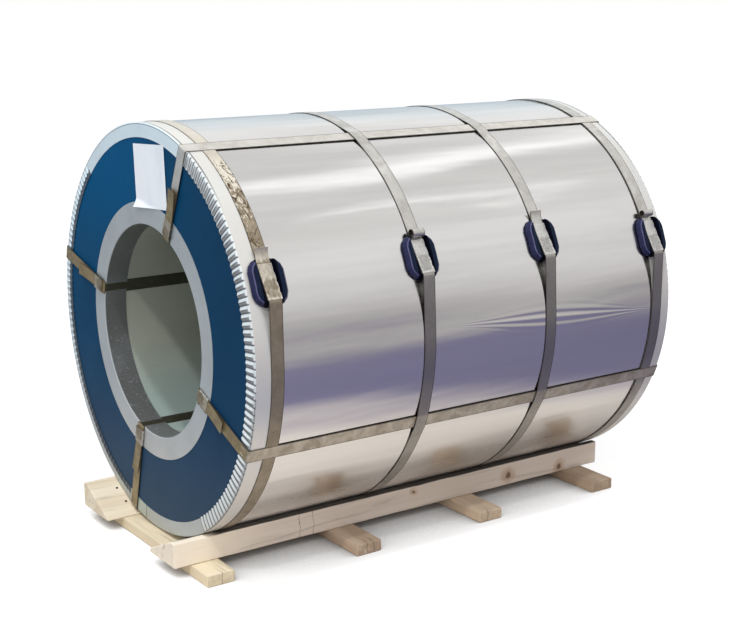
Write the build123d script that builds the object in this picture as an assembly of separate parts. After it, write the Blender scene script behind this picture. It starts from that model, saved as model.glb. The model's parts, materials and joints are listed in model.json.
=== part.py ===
"""A wrapped steel coil, strapped on a timber skid. Lengths in mm, X along the coil, Z up, floor at zero."""
import os
from math import acos, atan2, cos, degrees, hypot, radians, sin, tan

from build123d import *

# Driving dimensions of the coil
strip_width = 1200.0
coil_radius = 482.5
bore_radius = 254.0
coil_shift = 40.0
lay_gap = 0.2
overrun = 20.0

# Sheet packing round the coil
wrap_thickness = 1.0
liner_thickness = 1.0
disc_thickness = 3.0
ring_thickness = 1.0
skirt_length = 58.0
lip_length = 58.0
outer_flange_reach = 34.0
inner_flange_reach = 52.4

# Crimped pleats on the flange of the outer edge ring
pleat_height = 2.6
pleat_pitch = 2.0
pleat_gap = 0.4
pleat_root = 4.0
pleat_sectors = ((48.0, -72.0), (240.0, 114.0))

# Steel strapping
strap_width = 32.0
strap_thickness = 0.9
eye_angles = (113.5, 14.0, -75.5, -158.0)
eye_tail_start = 285.0
eye_tail_end = 380.0
girth_station_shares = (0.0453, 0.375, 0.6725, 0.963)
girth_on_skirt = (True, False, False, True)

# Crimped seals that hold the ends of the straps
seal_thickness = 0.9
seal_side = 2.0
eye_seal_length = 40.0
eye_seal_radius = 282.0
girth_seal_length = 82.0
girth_seal_back = 45.0

# Rolled ends of the girth straps, behind their seals
tail_roll_radius = 10.0
tail_roll_back = 98.0

# Pads under the joints of the girth straps
pad_angles = (157.3, 156.0, 155.7, 159.0)
pad_length = 104.0
pad_width = 86.0
pad_height = 16.0
pad_corner = 20.0
pad_taper = 25.0
pad_channel = 44.0

# Paper label on the front disc
label_width = 154.0
label_height = 145.0
label_thickness = 0.4
label_offset = 28.0
label_overlap = 10.5
label_tilt = -3.5

# Timber skid
board_thickness = 28.0
board_width = 70.0
board_station_shares = (-0.439, -0.1495, 0.1375, 0.433)
front_board_half_length = 322.0
board_half_length = 364.0
bearer_length = 1288.0
bearer_height = 60.0
left_nose = 4.0
right_nose = 10.0
bearer_inner = 108.0
bearer_outer = 246.0
seat_angle = 24.7


def stacked(sizes):
    """Running total of a table of sizes, each added to the one before."""
    totals = []
    total = 0.0
    for size in sizes:
        total += size
        totals.append(total)
    return totals


# Radii of the layers over the coil, from the coil outward
wrap_inner, wrap_outer, skirt_inner, skirt_outer = stacked(
    (coil_radius + lay_gap, wrap_thickness, lay_gap, ring_thickness)
)
girth_inner, girth_outer, eye_inner, eye_outer = stacked(
    (skirt_outer + lay_gap, strap_thickness, lay_gap, strap_thickness)
)
# Radii of the layers in the bore, from the coil inward
liner_outer, liner_inner, lip_outer, lip_inner, eye_bore_outer, eye_bore_inner = stacked(
    (bore_radius - lay_gap, -liner_thickness, -lay_gap, -ring_thickness, -lay_gap, -strap_thickness)
)
# Distances from the middle of the coil to the layers on its ends
disc_inner, disc_outer, flange_inner, flange_outer, pleat_outer, eye_face_inner, eye_face_outer = stacked(
    (strip_width / 2 + lay_gap, disc_thickness, lay_gap, ring_thickness, pleat_height, lay_gap, strap_thickness)
)
seat_radius = girth_outer + lay_gap
seat = radians(seat_angle)
nose_level = (seat_radius - bearer_inner * sin(seat)) / cos(seat)
axis_height = board_thickness + left_nose + nose_level
girth_stations = [(2 * place - 1) * flange_outer for place in girth_station_shares]
pad_top_half = pad_length / 2 - pad_height * tan(radians(pad_taper))
label_level = lip_inner + inner_flange_reach - label_overlap + label_height / 2


def tube(outer, inner, start, end):
    """Tube round the X axis from start to end."""
    profile = Pos((start + end) / 2, (outer + inner) / 2) * Rectangle(end - start, outer - inner)
    return revolve(profile, Axis.X)


def polar(radius, angle):
    """Point at a radius and an angle in degrees, from +Y towards +Z, as local X and Y of the end plane."""
    return (radius * cos(radians(angle)), radius * sin(radians(angle)))


def across(sketch, start, end):
    """Solid from a sketch in the Y-Z plane, from start to end along X."""
    return extrude(Plane.YZ.offset(start) * sketch, end - start)


def pleat(angle):
    """One crimped fold of the flange, as a radial ridge on it."""
    start = skirt_outer - outer_flange_reach + pleat_gap
    half = start * tan(radians(pleat_pitch / 2)) - pleat_gap / 2
    ridge = Polyline((-half, 0), (half, 0), (0, pleat_height), close=True)
    base = Plane((flange_outer, start, 0), x_dir=(0, 0, 1), z_dir=(0, 1, 0))
    return Rot(angle, 0, 0) * extrude(base * make_face(ridge), skirt_outer - pleat_root - start)


def outer_ring():
    """Outer edge ring of the far end: skirt, flange and crimped pleats."""
    ring = tube(skirt_outer, skirt_inner, flange_outer - skirt_length, flange_outer)
    ring += tube(skirt_outer, skirt_outer - outer_flange_reach, flange_inner, flange_outer)
    pleats = []
    for first, last in pleat_sectors:
        count = int((first - last) / pleat_pitch)
        pleats += [pleat(first - (fold + 1 / 2) * pleat_pitch) for fold in range(count)]
    return ring + pleats


def inner_ring():
    """Inner edge ring of the far end: flange and lip."""
    ring = tube(lip_outer, lip_inner, flange_outer - lip_length, flange_outer)
    return ring + tube(lip_inner + inner_flange_reach, lip_inner, flange_inner, flange_outer)


def eye_strap(angle):
    """Strap through the bore and round the outside, with the tail of its joint on the front face."""
    height = eye_outer - eye_bore_inner
    middle = (eye_outer + eye_bore_inner) / 2
    tail_length = eye_tail_end - eye_tail_start
    slab = Pos(0, middle, 0) * Box(2 * eye_face_outer + overrun, height + overrun, strap_width)
    strap = tube(eye_bore_outer, eye_bore_inner, -eye_face_outer, eye_face_outer) & slab
    strap += Pos(0, eye_outer - strap_thickness / 2, 0) * Box(2 * eye_face_outer, strap_thickness, strap_width)
    for end in (-1, 1):
        face = Pos(end * (eye_face_outer - strap_thickness / 2), middle, 0)
        strap += face * Box(strap_thickness, height, strap_width)
    tail = Pos(-eye_face_outer, (eye_tail_start + eye_tail_end) / 2, 0)
    strap += tail * Box(2 * strap_thickness, tail_length, strap_width)
    return Rot(angle, 0, 0) * strap


def eye_seal(angle):
    """Crimped sleeve over the joint of an eye strap, on the front face."""
    layers = 2 * strap_thickness + 2 * lay_gap
    middle = -(eye_face_inner + strap_thickness)
    sleeve = Box(layers + 2 * seal_thickness, eye_seal_length, strap_width + 2 * seal_side)
    sleeve -= Box(layers, eye_seal_length + overrun, strap_width + 2 * lay_gap)
    return Rot(angle, 0, 0) * Pos(middle, eye_seal_radius, 0) * sleeve


def girth_seat(number):
    """Radius on which a girth strap and its pad lie."""
    return (skirt_outer if girth_on_skirt[number] else wrap_outer) + lay_gap


def joint_apex(number):
    """Angle and radius of a girth strap's bend over the lower edge of its pad's top."""
    top = girth_seat(number) + pad_height
    edge = degrees(atan2(pad_top_half, top))
    return (pad_angles[number] + edge, hypot(pad_top_half, top) + seal_thickness + 2 * lay_gap)


def on_run(number, piece):
    """Put a piece on the straight run of a girth strap over its pad: +Y outward, +Z down to the bend."""
    angle, reach = joint_apex(number)
    lift = acos(girth_seat(number) / reach)
    return Rot(angle - degrees(lift), 0, 0) * Pos(0, girth_seat(number), reach * sin(lift)) * piece


def taut_outline(radius, tents):
    """Outline of a taut band round a circle, lifted over tents, each a list of (angle, radius) corners."""
    shape = Circle(radius)
    for corners in tents:
        first_angle, first_reach = corners[0]
        last_angle, last_reach = corners[-1]
        upper_foot = polar(radius, first_angle - degrees(acos(radius / first_reach)))
        lower_foot = polar(radius, last_angle + degrees(acos(radius / last_reach)))
        points = [polar(reach, angle) for angle, reach in corners]
        shape += make_face(Polyline((0, 0), upper_foot, *points, lower_foot, close=True))
    return shape


def girth_strap(number):
    """Strap round the outside, lifted over its pad and the eye straps that it crosses, its end rolled up."""
    start = girth_seat(number)
    tents = [[joint_apex(number)]]
    if not girth_on_skirt[number]:
        reach = hypot(strap_width / 2, eye_outer + lay_gap)
        corner = degrees(atan2(strap_width / 2, eye_outer + lay_gap))
        tents += [[(angle - corner, reach), (angle + corner, reach)] for angle in eye_angles]
    thicker = [[(angle, reach + strap_thickness) for angle, reach in corners] for corners in tents]
    band = taut_outline(start + strap_thickness, thicker) - taut_outline(start, tents)
    roll = Circle(tail_roll_radius) - Circle(tail_roll_radius - strap_thickness)
    roll = Pos(strap_thickness / 2 + tail_roll_radius, -tail_roll_back) * roll
    half = strap_width / 2
    strap = across(band, -half, half) + on_run(number, across(roll, -half, half))
    return Pos(girth_stations[number], 0, 0) * strap


def strap_pad(number):
    """Pad with eight sloping sides, a hollow underside that lies on the coil and a channel for the strap."""
    under = girth_seat(number)
    base = Rectangle(pad_width, pad_length)
    base = chamfer(base.vertices(), pad_corner)
    body = extrude(base, pad_height, taper=pad_taper)
    body += extrude(base, -overrun)
    body = Pos(0, under, 0) * Rot(-90, 0, 0) * body
    body -= tube(under, 0, -pad_width, pad_width)
    channel = Box(pad_channel, 2 * pad_height, 4 * pad_length)
    channel = Pos(0, pad_height - seal_thickness - 2 * lay_gap, 0) * channel
    body = Rot(pad_angles[number], 0, 0) * body - on_run(number, channel)
    return Pos(girth_stations[number], 0, 0) * body


def girth_seal(number):
    """Crimped sleeve over the joint of a girth strap, on its pad."""
    layers = strap_thickness + 2 * lay_gap
    sleeve = Box(strap_width + 2 * seal_side, layers + 2 * seal_thickness, girth_seal_length)
    sleeve -= Box(strap_width + 2 * lay_gap, layers, girth_seal_length + overrun)
    sleeve = on_run(number, Pos(0, strap_thickness / 2, -girth_seal_back) * sleeve)
    return Pos(girth_stations[number], 0, 0) * sleeve


def paper_label():
    """Sheet of paper on the front disc, its lower edge over the inner ring."""
    sheet = Rot(0, 0, label_tilt) * Rectangle(label_width, label_height)
    front = flange_outer + lay_gap
    return across(Pos(-label_offset, label_level) * sheet, -front - label_thickness, -front)


def bearer(side, nose):
    """Bevelled timber beside the coil: +1 left, -1 right."""
    inner = bearer_inner + (nose - left_nose) / tan(seat)
    top_inner = bearer_inner + (bearer_height - left_nose) / tan(seat)
    outline = (
        (side * inner, board_thickness),
        (side * bearer_outer, board_thickness),
        (side * bearer_outer, board_thickness + bearer_height),
        (side * top_inner, board_thickness + bearer_height),
        (side * inner, board_thickness + nose),
    )
    return across(make_face(Polyline(*outline, close=True)), -bearer_length / 2, bearer_length / 2)


def cross_board(number):
    """Board across the skid, flat on the floor."""
    half_length = board_half_length if number else front_board_half_length
    board = Box(board_width, 2 * half_length, board_thickness)
    return Pos(board_station_shares[number] * bearer_length, 0, board_thickness / 2) * board


half_strip = strip_width / 2
disc = tube(coil_radius, bore_radius, disc_inner, disc_outer)
flip = Plane.YZ
rim_ring = outer_ring()
eye_ring = inner_ring()

on_axis = {
    "steel_coil": tube(coil_radius, bore_radius, -half_strip, half_strip),
    "outer_wrap": tube(wrap_outer, wrap_inner, -half_strip, half_strip),
    "bore_liner": tube(liner_outer, liner_inner, -half_strip, half_strip),
    "end_disc_back": disc,
    "end_disc_front": mirror(disc, flip),
    "outer_edge_ring_back": rim_ring,
    "outer_edge_ring_front": mirror(rim_ring, flip),
    "inner_edge_ring_back": eye_ring,
    "inner_edge_ring_front": mirror(eye_ring, flip),
    "paper_label": paper_label(),
}
for number, angle in enumerate(eye_angles):
    on_axis[f"eye_strap_{number + 1}"] = eye_strap(angle)
    on_axis[f"eye_seal_{number + 1}"] = eye_seal(angle)
for number in range(len(girth_stations)):
    on_axis[f"girth_strap_{number + 1}"] = girth_strap(number)
    on_axis[f"strap_pad_{number + 1}"] = strap_pad(number)
    on_axis[f"girth_seal_{number + 1}"] = girth_seal(number)

nodes = {name: Pos(coil_shift, 0, axis_height) * piece for name, piece in on_axis.items()}
nodes["bearer_left"] = bearer(1, left_nose)
nodes["bearer_right"] = bearer(-1, right_nose)
for number in range(len(board_station_shares)):
    nodes[f"cross_board_{number + 1}"] = cross_board(number)

os.makedirs("parts", exist_ok=True)
for name, piece in nodes.items():
    export_step(piece, f"parts/{name}.step")
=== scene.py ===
"""A steel coil in its sheet packing, strapped on a timber skid. Lengths in metres, angles in degrees."""

import json
import math

import bmesh
import bpy
from mathutils import Matrix, Vector, noise


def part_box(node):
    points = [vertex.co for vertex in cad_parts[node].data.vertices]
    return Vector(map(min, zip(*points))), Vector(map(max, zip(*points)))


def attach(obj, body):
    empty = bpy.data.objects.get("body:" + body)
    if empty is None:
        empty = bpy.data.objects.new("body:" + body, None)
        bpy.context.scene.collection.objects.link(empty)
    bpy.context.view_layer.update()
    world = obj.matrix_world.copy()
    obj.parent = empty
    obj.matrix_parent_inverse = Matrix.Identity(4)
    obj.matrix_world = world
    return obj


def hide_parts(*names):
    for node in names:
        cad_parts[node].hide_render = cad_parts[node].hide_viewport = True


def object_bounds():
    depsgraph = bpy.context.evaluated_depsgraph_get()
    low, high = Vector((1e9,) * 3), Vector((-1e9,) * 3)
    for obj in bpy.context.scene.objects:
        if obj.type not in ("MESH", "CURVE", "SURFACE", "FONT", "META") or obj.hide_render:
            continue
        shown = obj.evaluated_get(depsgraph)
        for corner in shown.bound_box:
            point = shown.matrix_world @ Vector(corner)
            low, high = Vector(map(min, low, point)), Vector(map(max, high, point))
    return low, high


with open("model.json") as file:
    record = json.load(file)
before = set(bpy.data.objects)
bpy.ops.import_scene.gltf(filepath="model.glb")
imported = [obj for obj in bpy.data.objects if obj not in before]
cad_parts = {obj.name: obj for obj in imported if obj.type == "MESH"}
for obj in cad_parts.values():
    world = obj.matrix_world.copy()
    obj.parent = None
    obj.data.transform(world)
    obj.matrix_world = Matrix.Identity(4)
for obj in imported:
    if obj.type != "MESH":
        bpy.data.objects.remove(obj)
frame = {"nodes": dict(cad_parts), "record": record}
cad_low, cad_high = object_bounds()

# Places read from the frame
eye_mount = next(mount for mount in frame["record"]["mounts"] if mount["name"] == "coil_eye")
axis = Vector(eye_mount["pos_m"])
middle_x = axis.x


def radius_of(node):
    """Radius of a round node about the coil's axis, as half its width."""
    low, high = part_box(node)
    return (high.y - low.y) / 2


face_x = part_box("inner_edge_ring_front")[0].x
disc_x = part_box("end_disc_front")[0].x
rim_radius = radius_of("outer_edge_ring_front")
wrap_radius = radius_of("outer_wrap")
liner_radius = radius_of("bore_liner")
inner_flange_radius = radius_of("inner_edge_ring_front")
lip_radius = eye_mount["dims"]["r_mm"] / 1000
skirt_back_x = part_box("outer_edge_ring_front")[1].x
lip_back_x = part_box("inner_edge_ring_front")[1].x
pleat_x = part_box("outer_edge_ring_front")[0].x
eye_tail_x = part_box("eye_strap_1")[0].x

# Sheet packing
sheet = 0.001
lay_gap = 0.0002
fold_radius = 0.0022
outer_flange_reach = 0.034
wrap_wall = 0.00025
wave_depth = 0.0009
ripple_x = 0.27
ripple_level = 0.017
ripple_lean = -0.012
ripple_length = 0.19
ripple_height = 0.026
ripple_pitch = 0.021
ripple_depth = 0.0005

# Pleats of the outer edge rings, the painted shadow of their teeth and their painted lines
pleat_pitch = 2.0
pleat_gap = 0.0006
pleat_root_gap = 0.0035
pleat_tooth = 0.0022
pleat_wall = 0.0005
pleat_ridge = 0.0010
pleat_sectors = ((48.0, -72.0), (240.0, 114.0))
pleat_blend = 0.4
tooth_line = (0.0250, 0.0235)
tooth_reach = 0.012
seam_angle = -83.2
green_ends = (-74, -77)
lap_start = (50, 62)
lap_end = (140, 122)
groove_depth = 0.0036
groove_start = (-45, -15)
groove_end = (118, 110)

# Straps, pads and seals
strap_width = 0.032
strap_thickness = 0.0009
eye_angles = (113.5, 14.0, -75.5, -158.0)
eye_fold = 0.003
eye_tail = (0.285, 0.380)
eye_tail_lifts = (0.007, 0.008, 0.004, 0.005)
eye_tail_held = 0.25
eye_seal_middle = 0.282
eye_seal_length = 0.040
pad_angles = (157.3, 156.0, 155.7, 159.0)
pad_length = 0.104
pad_width = 0.086
pad_height = 0.016
pad_corner = 0.028
pad_wall = 0.006
pad_slope = 0.0075
pad_round = 0.0035
pad_channel = 0.044
pad_channel_side = 0.002
seal_length = 0.082
seal_back = 0.045
seal_side = 0.002
seal_wall = 0.0009
seal_round = 0.0005
tail_curls = ((0.045, 42), (0.010, 330), (0.050, 36), (0.008, 330))
tail_backs = (0.088, 0.098, 0.086, 0.104)
girth_on_skirt = (True, False, False, True)
flake_start = (112, 122)
flake_end = (152, 147)
bare_run = (146, 112)
pale_start = (70, 90)
pale_end = (124, 112)

# Label
label_width = 0.154
label_height = 0.145
label_middle = (-0.028, 0.366)
label_tilt = -3.5
label_curl = 0.010
label_wall = 0.0003
label_stand_off = 0.0008

# Skid
seat_angle = 24.7
bearer_noses = {"left": 0.004, "right": 0.010}
timber_round = 0.0035
saw_depth = 0.0008
saw_seed = 1
board_splits = (((0.55, 0.05),), ((0.40, 0.09), (0.66, 0.06)), ((0.35, 0.04),), ())
bearer_knots = ((0.331, 0.054, 0.012), (0.510, 0.043, 0.011), (0.024, 0.074, 0.006))
bearer_cuts = (-0.312, -0.275)
bearer_fresh_end = (-0.36, -0.56, (0.86, 0.775, 0.64))
nail_spots = ((0.068, 0.099), (0.070, 0.048))
nail_radius = 0.0036
nail_top_radius = 0.0030
nail_height = 0.0016

# Camera that matches the photograph, and the stage
camera_place = Vector((-1.9578, -2.9041, 1.3031))
camera_turn = 34.57
camera_dip = 13.06
camera_lens = 69.33
floor_radius = 9.0
floor_shelter = 0.35
lamp_reach = 5.0
down_lamps = (
    ("skylight", (3.0, 0.35, 4.5), (4.2, 0.95), 3.4, 29),
    ("skylight_core", (3.0, 0.30, 4.4), (3.6, 0.35), 1.4, 29),
    ("strip_light", (3.0, -1.7, 4.5), (1.9, 0.16), 0.8, 0),
)
eye_lamps = (("front_light", (-0.380, -0.463, 0.801), 72), ("top_light", (-0.175, -0.279, 0.944), 92))
fill_place = Vector((-2.6, -3.6, 2.6))


# Shared helpers for meshes
quarter_turn = Matrix.Rotation(math.pi / 2, 4, "Y")


def outward(angle):
    """Unit vector from the coil's axis at an angle, from +Y towards +Z."""
    return Vector((0, math.cos(math.radians(angle)), math.sin(math.radians(angle))))


def around(angle):
    """Rotation about the X axis."""
    return Matrix.Rotation(math.radians(angle), 4, "X")


def make_piece(name, bm, materials, node=None, limit=38.0):
    """Turn a bmesh into a piece that rides on the object, sharp at edges above a limit."""
    bmesh.ops.recalc_face_normals(bm, faces=bm.faces)
    for face in bm.faces:
        face.smooth = True
    for edge in bm.edges:
        edge.smooth = not (edge.is_manifold and edge.calc_face_angle(0) > math.radians(limit))
    mesh = bpy.data.meshes.new(name)
    bm.to_mesh(mesh)
    bm.free()
    for material in materials:
        mesh.materials.append(material)
    piece = bpy.data.objects.new(name, mesh)
    bpy.context.scene.collection.objects.link(piece)
    piece.modifiers.new("even_shading", "WEIGHTED_NORMAL").keep_sharp = True
    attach(piece, "root")
    if node:
        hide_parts(node)


def shift(bm, vec):
    """Move a whole shape."""
    bmesh.ops.translate(bm, verts=bm.verts, vec=vec)


def rotate(bm, matrix):
    """Turn a whole shape about the origin."""
    bmesh.ops.rotate(bm, verts=bm.verts, cent=(0, 0, 0), matrix=matrix)


def to_axis(bm):
    """Move a shape made about the X axis onto the coil's axis."""
    shift(bm, (0, axis.y, axis.z))


def flip_end(bm):
    """Mirror a shape of the front end to the back end."""
    bmesh.ops.scale(bm, verts=bm.verts, vec=(-1, 1, 1), space=Matrix.Translation((-middle_x, 0, 0)))
    bmesh.ops.reverse_faces(bm, faces=bm.faces)


def to_end(bm, end):
    """Put a shape of the front end on the coil's axis, at either end."""
    if end == "back":
        flip_end(bm)
    to_axis(bm)


def cut(bm, place, direction):
    """Cut edges into a shape along a plane."""
    bmesh.ops.bisect_plane(
        bm, geom=bm.verts[:] + bm.edges[:] + bm.faces[:], plane_co=place, plane_no=direction
    )


def slice_along(bm, direction, low, high, count):
    """Cut a shape into equal lengths along a direction."""
    for step in range(1, count):
        cut(bm, Vector(direction) * (low + (high - low) * step / count), direction)


def pull(bm, made, vec):
    """Move the vertices that an extrusion made."""
    moved = [item for item in made["geom"] if isinstance(item, bmesh.types.BMVert)]
    bmesh.ops.translate(bm, verts=moved, vec=vec)


def thicken(bm, wall):
    """Give a sheet its thickness, with its faces set right first."""
    bmesh.ops.recalc_face_normals(bm, faces=bm.faces)
    bmesh.ops.solidify(bm, geom=bm.faces, thickness=wall)


def bevel(bm, geom, size, segments, affect="EDGES", profile=0.5, clamp=False):
    """Round some edges or corners."""
    bmesh.ops.bevel(
        bm, geom=geom, offset=size, segments=segments, profile=profile, affect=affect, material=-1,
        clamp_overlap=clamp,
    )


def soften(bm, size, segments, limit=30.0):
    """Round every edge that is sharper than a limit."""
    sharp = [edge for edge in bm.edges if edge.calc_face_angle(0) > math.radians(limit)]
    bevel(bm, sharp, size, segments, clamp=True)


def turned(profile, steps, closed=True):
    """Spin a profile of (x, radius) points round the X axis."""
    bm = bmesh.new()
    verts = [bm.verts.new((x, radius, 0)) for x, radius in profile]
    pairs = list(zip(verts, verts[1:]))
    if closed:
        pairs.append((verts[-1], verts[0]))
    edges = [bm.edges.new(pair) for pair in pairs]
    bmesh.ops.spin(
        bm, geom=verts + edges, cent=(0, 0, 0), axis=(1, 0, 0), angle=math.tau, steps=steps, use_merge=True
    )
    bmesh.ops.recalc_face_normals(bm, faces=bm.faces)
    return bm


def round_ring(bm, x, radius, size, segments):
    """Round the turned edge that passes through a point of the profile."""
    def on_ring(vert):
        spot = Vector((vert.co.x - x, math.hypot(vert.co.y, vert.co.z) - radius))
        return spot.length < sheet / 20

    ring = [edge for edge in bm.edges if all(map(on_ring, edge.verts))]
    bevel(bm, ring, size, segments, clamp=True)


def block(size, place=(0, 0, 0)):
    """Box of a size with its middle at a place."""
    bm = bmesh.new()
    bmesh.ops.create_cube(bm, size=1)
    bmesh.ops.scale(bm, verts=bm.verts, vec=size)
    shift(bm, place)
    return bm


def plate(width, length, columns=1, rows=1):
    """Flat grid about the origin."""
    bm = bmesh.new()
    bmesh.ops.create_grid(bm, x_segments=columns, y_segments=rows, size=0.5)
    bmesh.ops.scale(bm, verts=bm.verts, vec=(width, length, 1))
    return bm


def join(bm, other):
    """Add the geometry of another bmesh."""
    mesh = bpy.data.meshes.new("joined")
    other.to_mesh(mesh)
    other.free()
    bm.from_mesh(mesh)
    bpy.data.meshes.remove(mesh)


# Shared helpers for materials
def grey(value):
    """Neutral colour, or an even vector."""
    return (value, value, value)


def dim(colour, share):
    """Colour with its channels multiplied."""
    return tuple(channel * share for channel in colour)


def stretched(along, across_scale, along_scale):
    """Scales of a texture that is drawn out along one axis."""
    return tuple(along_scale if letter == along else across_scale for letter in "XYZ")


class Paint:
    """Node tree of a finish, with short ways to add its nodes. A colour is three numbers or a socket."""

    def __init__(self, owner):
        owner.use_nodes = True
        self.owner = owner
        self.tree = owner.node_tree

    def feed(self, socket, value):
        """Link a socket, or set its value."""
        if isinstance(value, bpy.types.NodeSocket):
            self.tree.links.new(value, socket)
        else:
            socket.default_value = (*value, 1) if socket.type == "RGBA" else value

    def add(self, kind, inputs=None, **settings):
        """Shader node with its settings and inputs."""
        made = self.tree.nodes.new(kind)
        for key, value in settings.items():
            setattr(made, key, value)
        for socket, value in (inputs or {}).items():
            self.feed(made.inputs[socket], value)
        return made

    def place(self, scale=(1, 1, 1), turn=(0, 0, 0), shift=(0, 0, 0)):
        """Object coordinates, scaled, turned and shifted."""
        coords = self.add("ShaderNodeTexCoord").outputs["Object"]
        inputs = {"Vector": coords, "Scale": scale, "Rotation": turn, "Location": shift}
        return self.add("ShaderNodeMapping", inputs).outputs["Vector"]

    def parts(self, vector):
        """X, Y and Z of a vector."""
        return self.add("ShaderNodeSeparateXYZ", {0: vector}).outputs

    def height(self):
        """Height above the floor."""
        return self.parts(self.place())["Z"]

    def facing(self):
        """X, Y and Z of the surface's normal."""
        return self.parts(self.add("ShaderNodeTexCoord").outputs["Normal"])

    def across(self):
        """Shares across a strap's width and along its seal, from the UV map."""
        return self.parts(self.add("ShaderNodeUVMap", uv_map="across").outputs["UV"])

    def angle(self):
        """Angle about the coil's axis, from +Y towards +Z, from -180 to 180."""
        x, y, z = self.parts(self.place(shift=(0, -axis.y, -axis.z)))
        return self.times(self.maths("ARCTAN2", z, y), math.degrees(1))

    def cloud(self, scale, detail=4.0, rough=0.5, twist=0.0, turn=(0, 0, 0)):
        """Noise at one scale, or at one for each axis."""
        scales = scale if isinstance(scale, tuple) else (scale, scale, scale)
        inputs = {"Vector": self.place(scales, turn), "Scale": 1.0, "Detail": detail}
        inputs.update({"Roughness": rough, "Distortion": twist})
        return self.add("ShaderNodeTexNoise", inputs).outputs["Fac"]

    def ease(self, value, low, high, start=0.0, end=1.0):
        """Smooth step of a value from low to high, mapped from start to end."""
        inputs = {"Value": value, "From Min": low, "From Max": high, "To Min": start, "To Max": end}
        return self.add("ShaderNodeMapRange", inputs, interpolation_type="SMOOTHSTEP").outputs["Result"]

    def between(self, value, start, end, share=1.0):
        """Mask of a value, eased in at its start and out at its end, up to a share."""
        return self.times(self.ease(value, *start), self.ease(value, *end, 0.0, share))

    def maths(self, operation, first, second=0.0):
        """Result of a sum."""
        return self.add("ShaderNodeMath", {0: first, 1: second}, operation=operation).outputs[0]

    def plus(self, first, second):
        """First plus second."""
        return self.maths("ADD", first, second)

    def minus(self, first, second):
        """First minus second."""
        return self.maths("SUBTRACT", first, second)

    def over(self, first, second):
        """First divided by second."""
        return self.maths("DIVIDE", first, second)

    def times(self, first, *others):
        """Product of two values or more."""
        for other in others:
            first = self.maths("MULTIPLY", first, other)
        return first

    def away(self, value, middle):
        """Distance of a value from a middle."""
        return self.maths("ABSOLUTE", self.minus(value, middle))

    def vector(self, operation, first, second=(0, 0, 0), result=0):
        """Result of a sum of vectors."""
        inputs = {0: first, 1: second}
        return self.add("ShaderNodeVectorMath", inputs, operation=operation).outputs[result]

    def mix(self, factor, first, second):
        """Colour mixed from two colours."""
        return self.add("ShaderNodeMix", {0: factor, 6: first, 7: second}, data_type="RGBA").outputs[2]

    def blot(self, colour, tone, value, low, high, share=1.0):
        """Colour that gives way to a tone, up to a share, as a value goes from low to high."""
        return self.mix(self.ease(value, low, high, 0.0, share), colour, tone)

    def ramp(self, value, stops):
        """Colour ramp from (position, colour) stops."""
        made = self.add("ShaderNodeValToRGB", {"Fac": value})
        elements = made.color_ramp.elements
        while len(elements) < len(stops):
            elements.new(1.0)
        for element, (position, colour) in zip(elements, stops):
            element.position = position
            element.color = (*colour, 1)
        return made.outputs["Color"]

    def relief(self, height, strength, distance, under=None):
        """Bump from a height, over another bump if there is one."""
        inputs = {"Height": height, "Strength": strength, "Distance": distance}
        if under is not None:
            inputs["Normal"] = under
        return self.add("ShaderNodeBump", inputs).outputs["Normal"]

    def finish(self, colour, gloss, bump=None, metal=0.0, shine=None):
        """Feed the surface's shader and give the material."""
        sockets = self.tree.nodes["Principled BSDF"].inputs
        self.feed(sockets["Base Color"], colour)
        self.feed(sockets["Roughness"], gloss)
        self.feed(sockets["Metallic"], metal)
        if bump is not None:
            self.feed(sockets["Normal"], bump)
        if shine is not None:
            self.feed(sockets["Specular IOR Level"], shine)
        return self.owner

    def coat(self, colour, grain, gloss, bump, metal=0.0, shine=None):
        """Finish with a range of gloss and a bump (strength, distance) that follow one noise."""
        shown_gloss = self.ease(grain, 0.3, 0.7, *gloss)
        return self.finish(colour, shown_gloss, self.relief(grain, *bump), metal, shine)


def start_paint(name):
    """Paint of a new material."""
    return Paint(bpy.data.materials.new(name))


# Materials
def pinched_ripple(paint):
    """Height of a few ripples pinched into the side of the wrap, as a lens that runs along the coil."""
    x, y, z = paint.parts(paint.place(shift=(-ripple_x, -axis.y, -axis.z)))
    beside = paint.over(x, ripple_length)
    squared = paint.times(beside, beside)
    arc = paint.times(paint.maths("ARCTAN2", z, paint.times(y, -1.0)), wrap_radius)
    arc = paint.minus(arc, paint.plus(ripple_level, paint.times(beside, ripple_lean)))
    arc = paint.over(arc, paint.maths("EXPONENT", paint.times(squared, -0.7)))
    spread = paint.over(arc, ripple_height)
    fall = paint.plus(squared, paint.times(spread, spread))
    lens = paint.maths("EXPONENT", paint.times(fall, -1.0))
    turns = paint.over(arc, ripple_pitch)
    return paint.times(lens, paint.maths("COSINE", paint.times(turns, math.tau)))


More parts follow.
